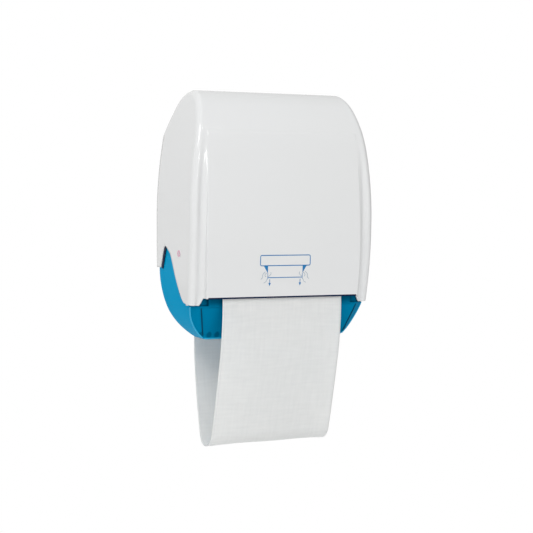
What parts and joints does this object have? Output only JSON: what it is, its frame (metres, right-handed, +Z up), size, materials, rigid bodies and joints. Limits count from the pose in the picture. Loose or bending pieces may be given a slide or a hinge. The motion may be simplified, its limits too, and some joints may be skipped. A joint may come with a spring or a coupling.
{
  "type": "roller towel dispenser",
  "caption": "Wall-hung roller towel dispenser with a lift-up white cover, a blue lower housing, a driven transport roller and a hanging loop of cloth towel.",
  "frame": {"origin": "middle of the four wall screw holes, on the wall's face", "axes": "+X to the right, +Y into the wall, +Z up; the front faces -Y"},
  "size_m": [0.4113, 0.1985, 0.7306],
  "materials": {
    "white_abs": "glossy moulded white plastic",
    "blue_translucent": "glossy translucent blue plastic",
    "grey_frame": "moulded grey plastic",
    "steel": "drawn steel",
    "zinc": "bright zinc die casting",
    "gear_nylon": "natural nylon",
    "grip_rubber": "soft ribbed rubber",
    "core_board": "grey plastic core",
    "towel_cloth": "fine white cotton weave",
    "navy_trim": "dark blue plastic trim",
    "ring_red": "painted red"
  },
  "bodies": {
    "frame": {"back_plate": "grey_frame", "frame_cheek_left": "grey_frame", "frame_cheek_right": "grey_frame", "frame_screws": "steel", "housing_screws": "steel", "lower_housing": "blue_translucent", "hinge_rod": "steel", "hinge_clips": "steel", "guide_bar": "steel", "shaft_bushes": "gear_nylon", "pinch_pivot_rod": "steel", "pinch_spring_left": "steel", "pinch_spring_right": "steel", "idler_pin": "steel", "towel_feed": "towel_cloth", "towel_loop": "towel_cloth", "lock_catch": "steel"},
    "cover": {"cover": "white_abs", "cover_edge_strip": "navy_trim", "lock_body": "zinc", "lock_ring": "ring_red", "lock_nut": "zinc"},
    "lock": {"lock_plug": "zinc", "lock_cam": "steel"},
    "clean_roll": {"clean_towel_roll": "towel_cloth", "clean_roll_core": "core_board", "roll_hub_left": "gear_nylon", "roll_hub_right": "gear_nylon"},
    "transport": {"transport_drum": "grey_frame", "transport_grip_sleeve": "grip_rubber", "transport_shaft": "steel", "transport_gear": "gear_nylon"},
    "pinch_arms": {"pinch_rocker": "grey_frame", "pinch_shaft": "steel"},
    "pinch_roll": {"pinch_roller": "grip_rubber"},
    "idler": {"idler_gear": "gear_nylon"},
    "takeup": {"takeup_shaft": "steel", "takeup_spindle": "grey_frame", "soiled_towel_roll": "towel_cloth", "takeup_gear": "gear_nylon"}
  },
  "joints": [
    {"name": "cover_hinge", "type": "hinge", "parent": "frame", "child": "cover", "pos_m": [0, -0.06, 0.228], "axis": [-1, 0, 0], "range_deg": [0, 80]},
    {"name": "lock_turn", "type": "hinge", "parent": "cover", "child": "lock", "pos_m": [-0.205, -0.1276, -0.0736], "axis": [-1, 0, 0], "range_deg": [0, 90]},
    {"name": "transport_spin", "type": "hinge", "parent": "frame", "child": "transport", "pos_m": [0, -0.153, -0.118], "axis": [1, 0, 0], "continuous": true},
    {"name": "clean_roll_spin", "type": "hinge", "parent": "frame", "child": "clean_roll", "pos_m": [0, -0.092, 0.14], "axis": [1, 0, 0], "continuous": true},
    {"name": "pinch_lift", "type": "hinge", "parent": "frame", "child": "pinch_arms", "pos_m": [0, -0.15, -0.06464], "axis": [1, 0, 0], "range_deg": [0, 6], "stiffness_Nm_per_rad": 2, "deforming": ["pinch_spring_left", "pinch_spring_right", "towel_feed"]},
    {"name": "pinch_spin", "type": "hinge", "parent": "pinch_arms", "child": "pinch_roll", "pos_m": [0, -0.12549, -0.08521], "axis": [1, 0, 0], "continuous": true},
    {"name": "idler_spin", "type": "hinge", "parent": "frame", "child": "idler", "pos_m": [0, -0.09597, -0.09367], "axis": [1, 0, 0], "continuous": true},
    {"name": "takeup_spin", "type": "hinge", "parent": "frame", "child": "takeup", "pos_m": [0, -0.068, -0.035], "axis": [1, 0, 0], "continuous": true}
  ],
  "couplings": [
    {"joint": "clean_roll_spin", "follows": "transport_spin", "ratio": 0.56063},
    {"joint": "pinch_spin", "follows": "transport_spin", "ratio": -2.9266},
    {"joint": "idler_spin", "follows": "transport_spin", "ratio": -1.0667},
    {"joint": "takeup_spin", "follows": "transport_spin", "ratio": 0.91429}
  ]
}
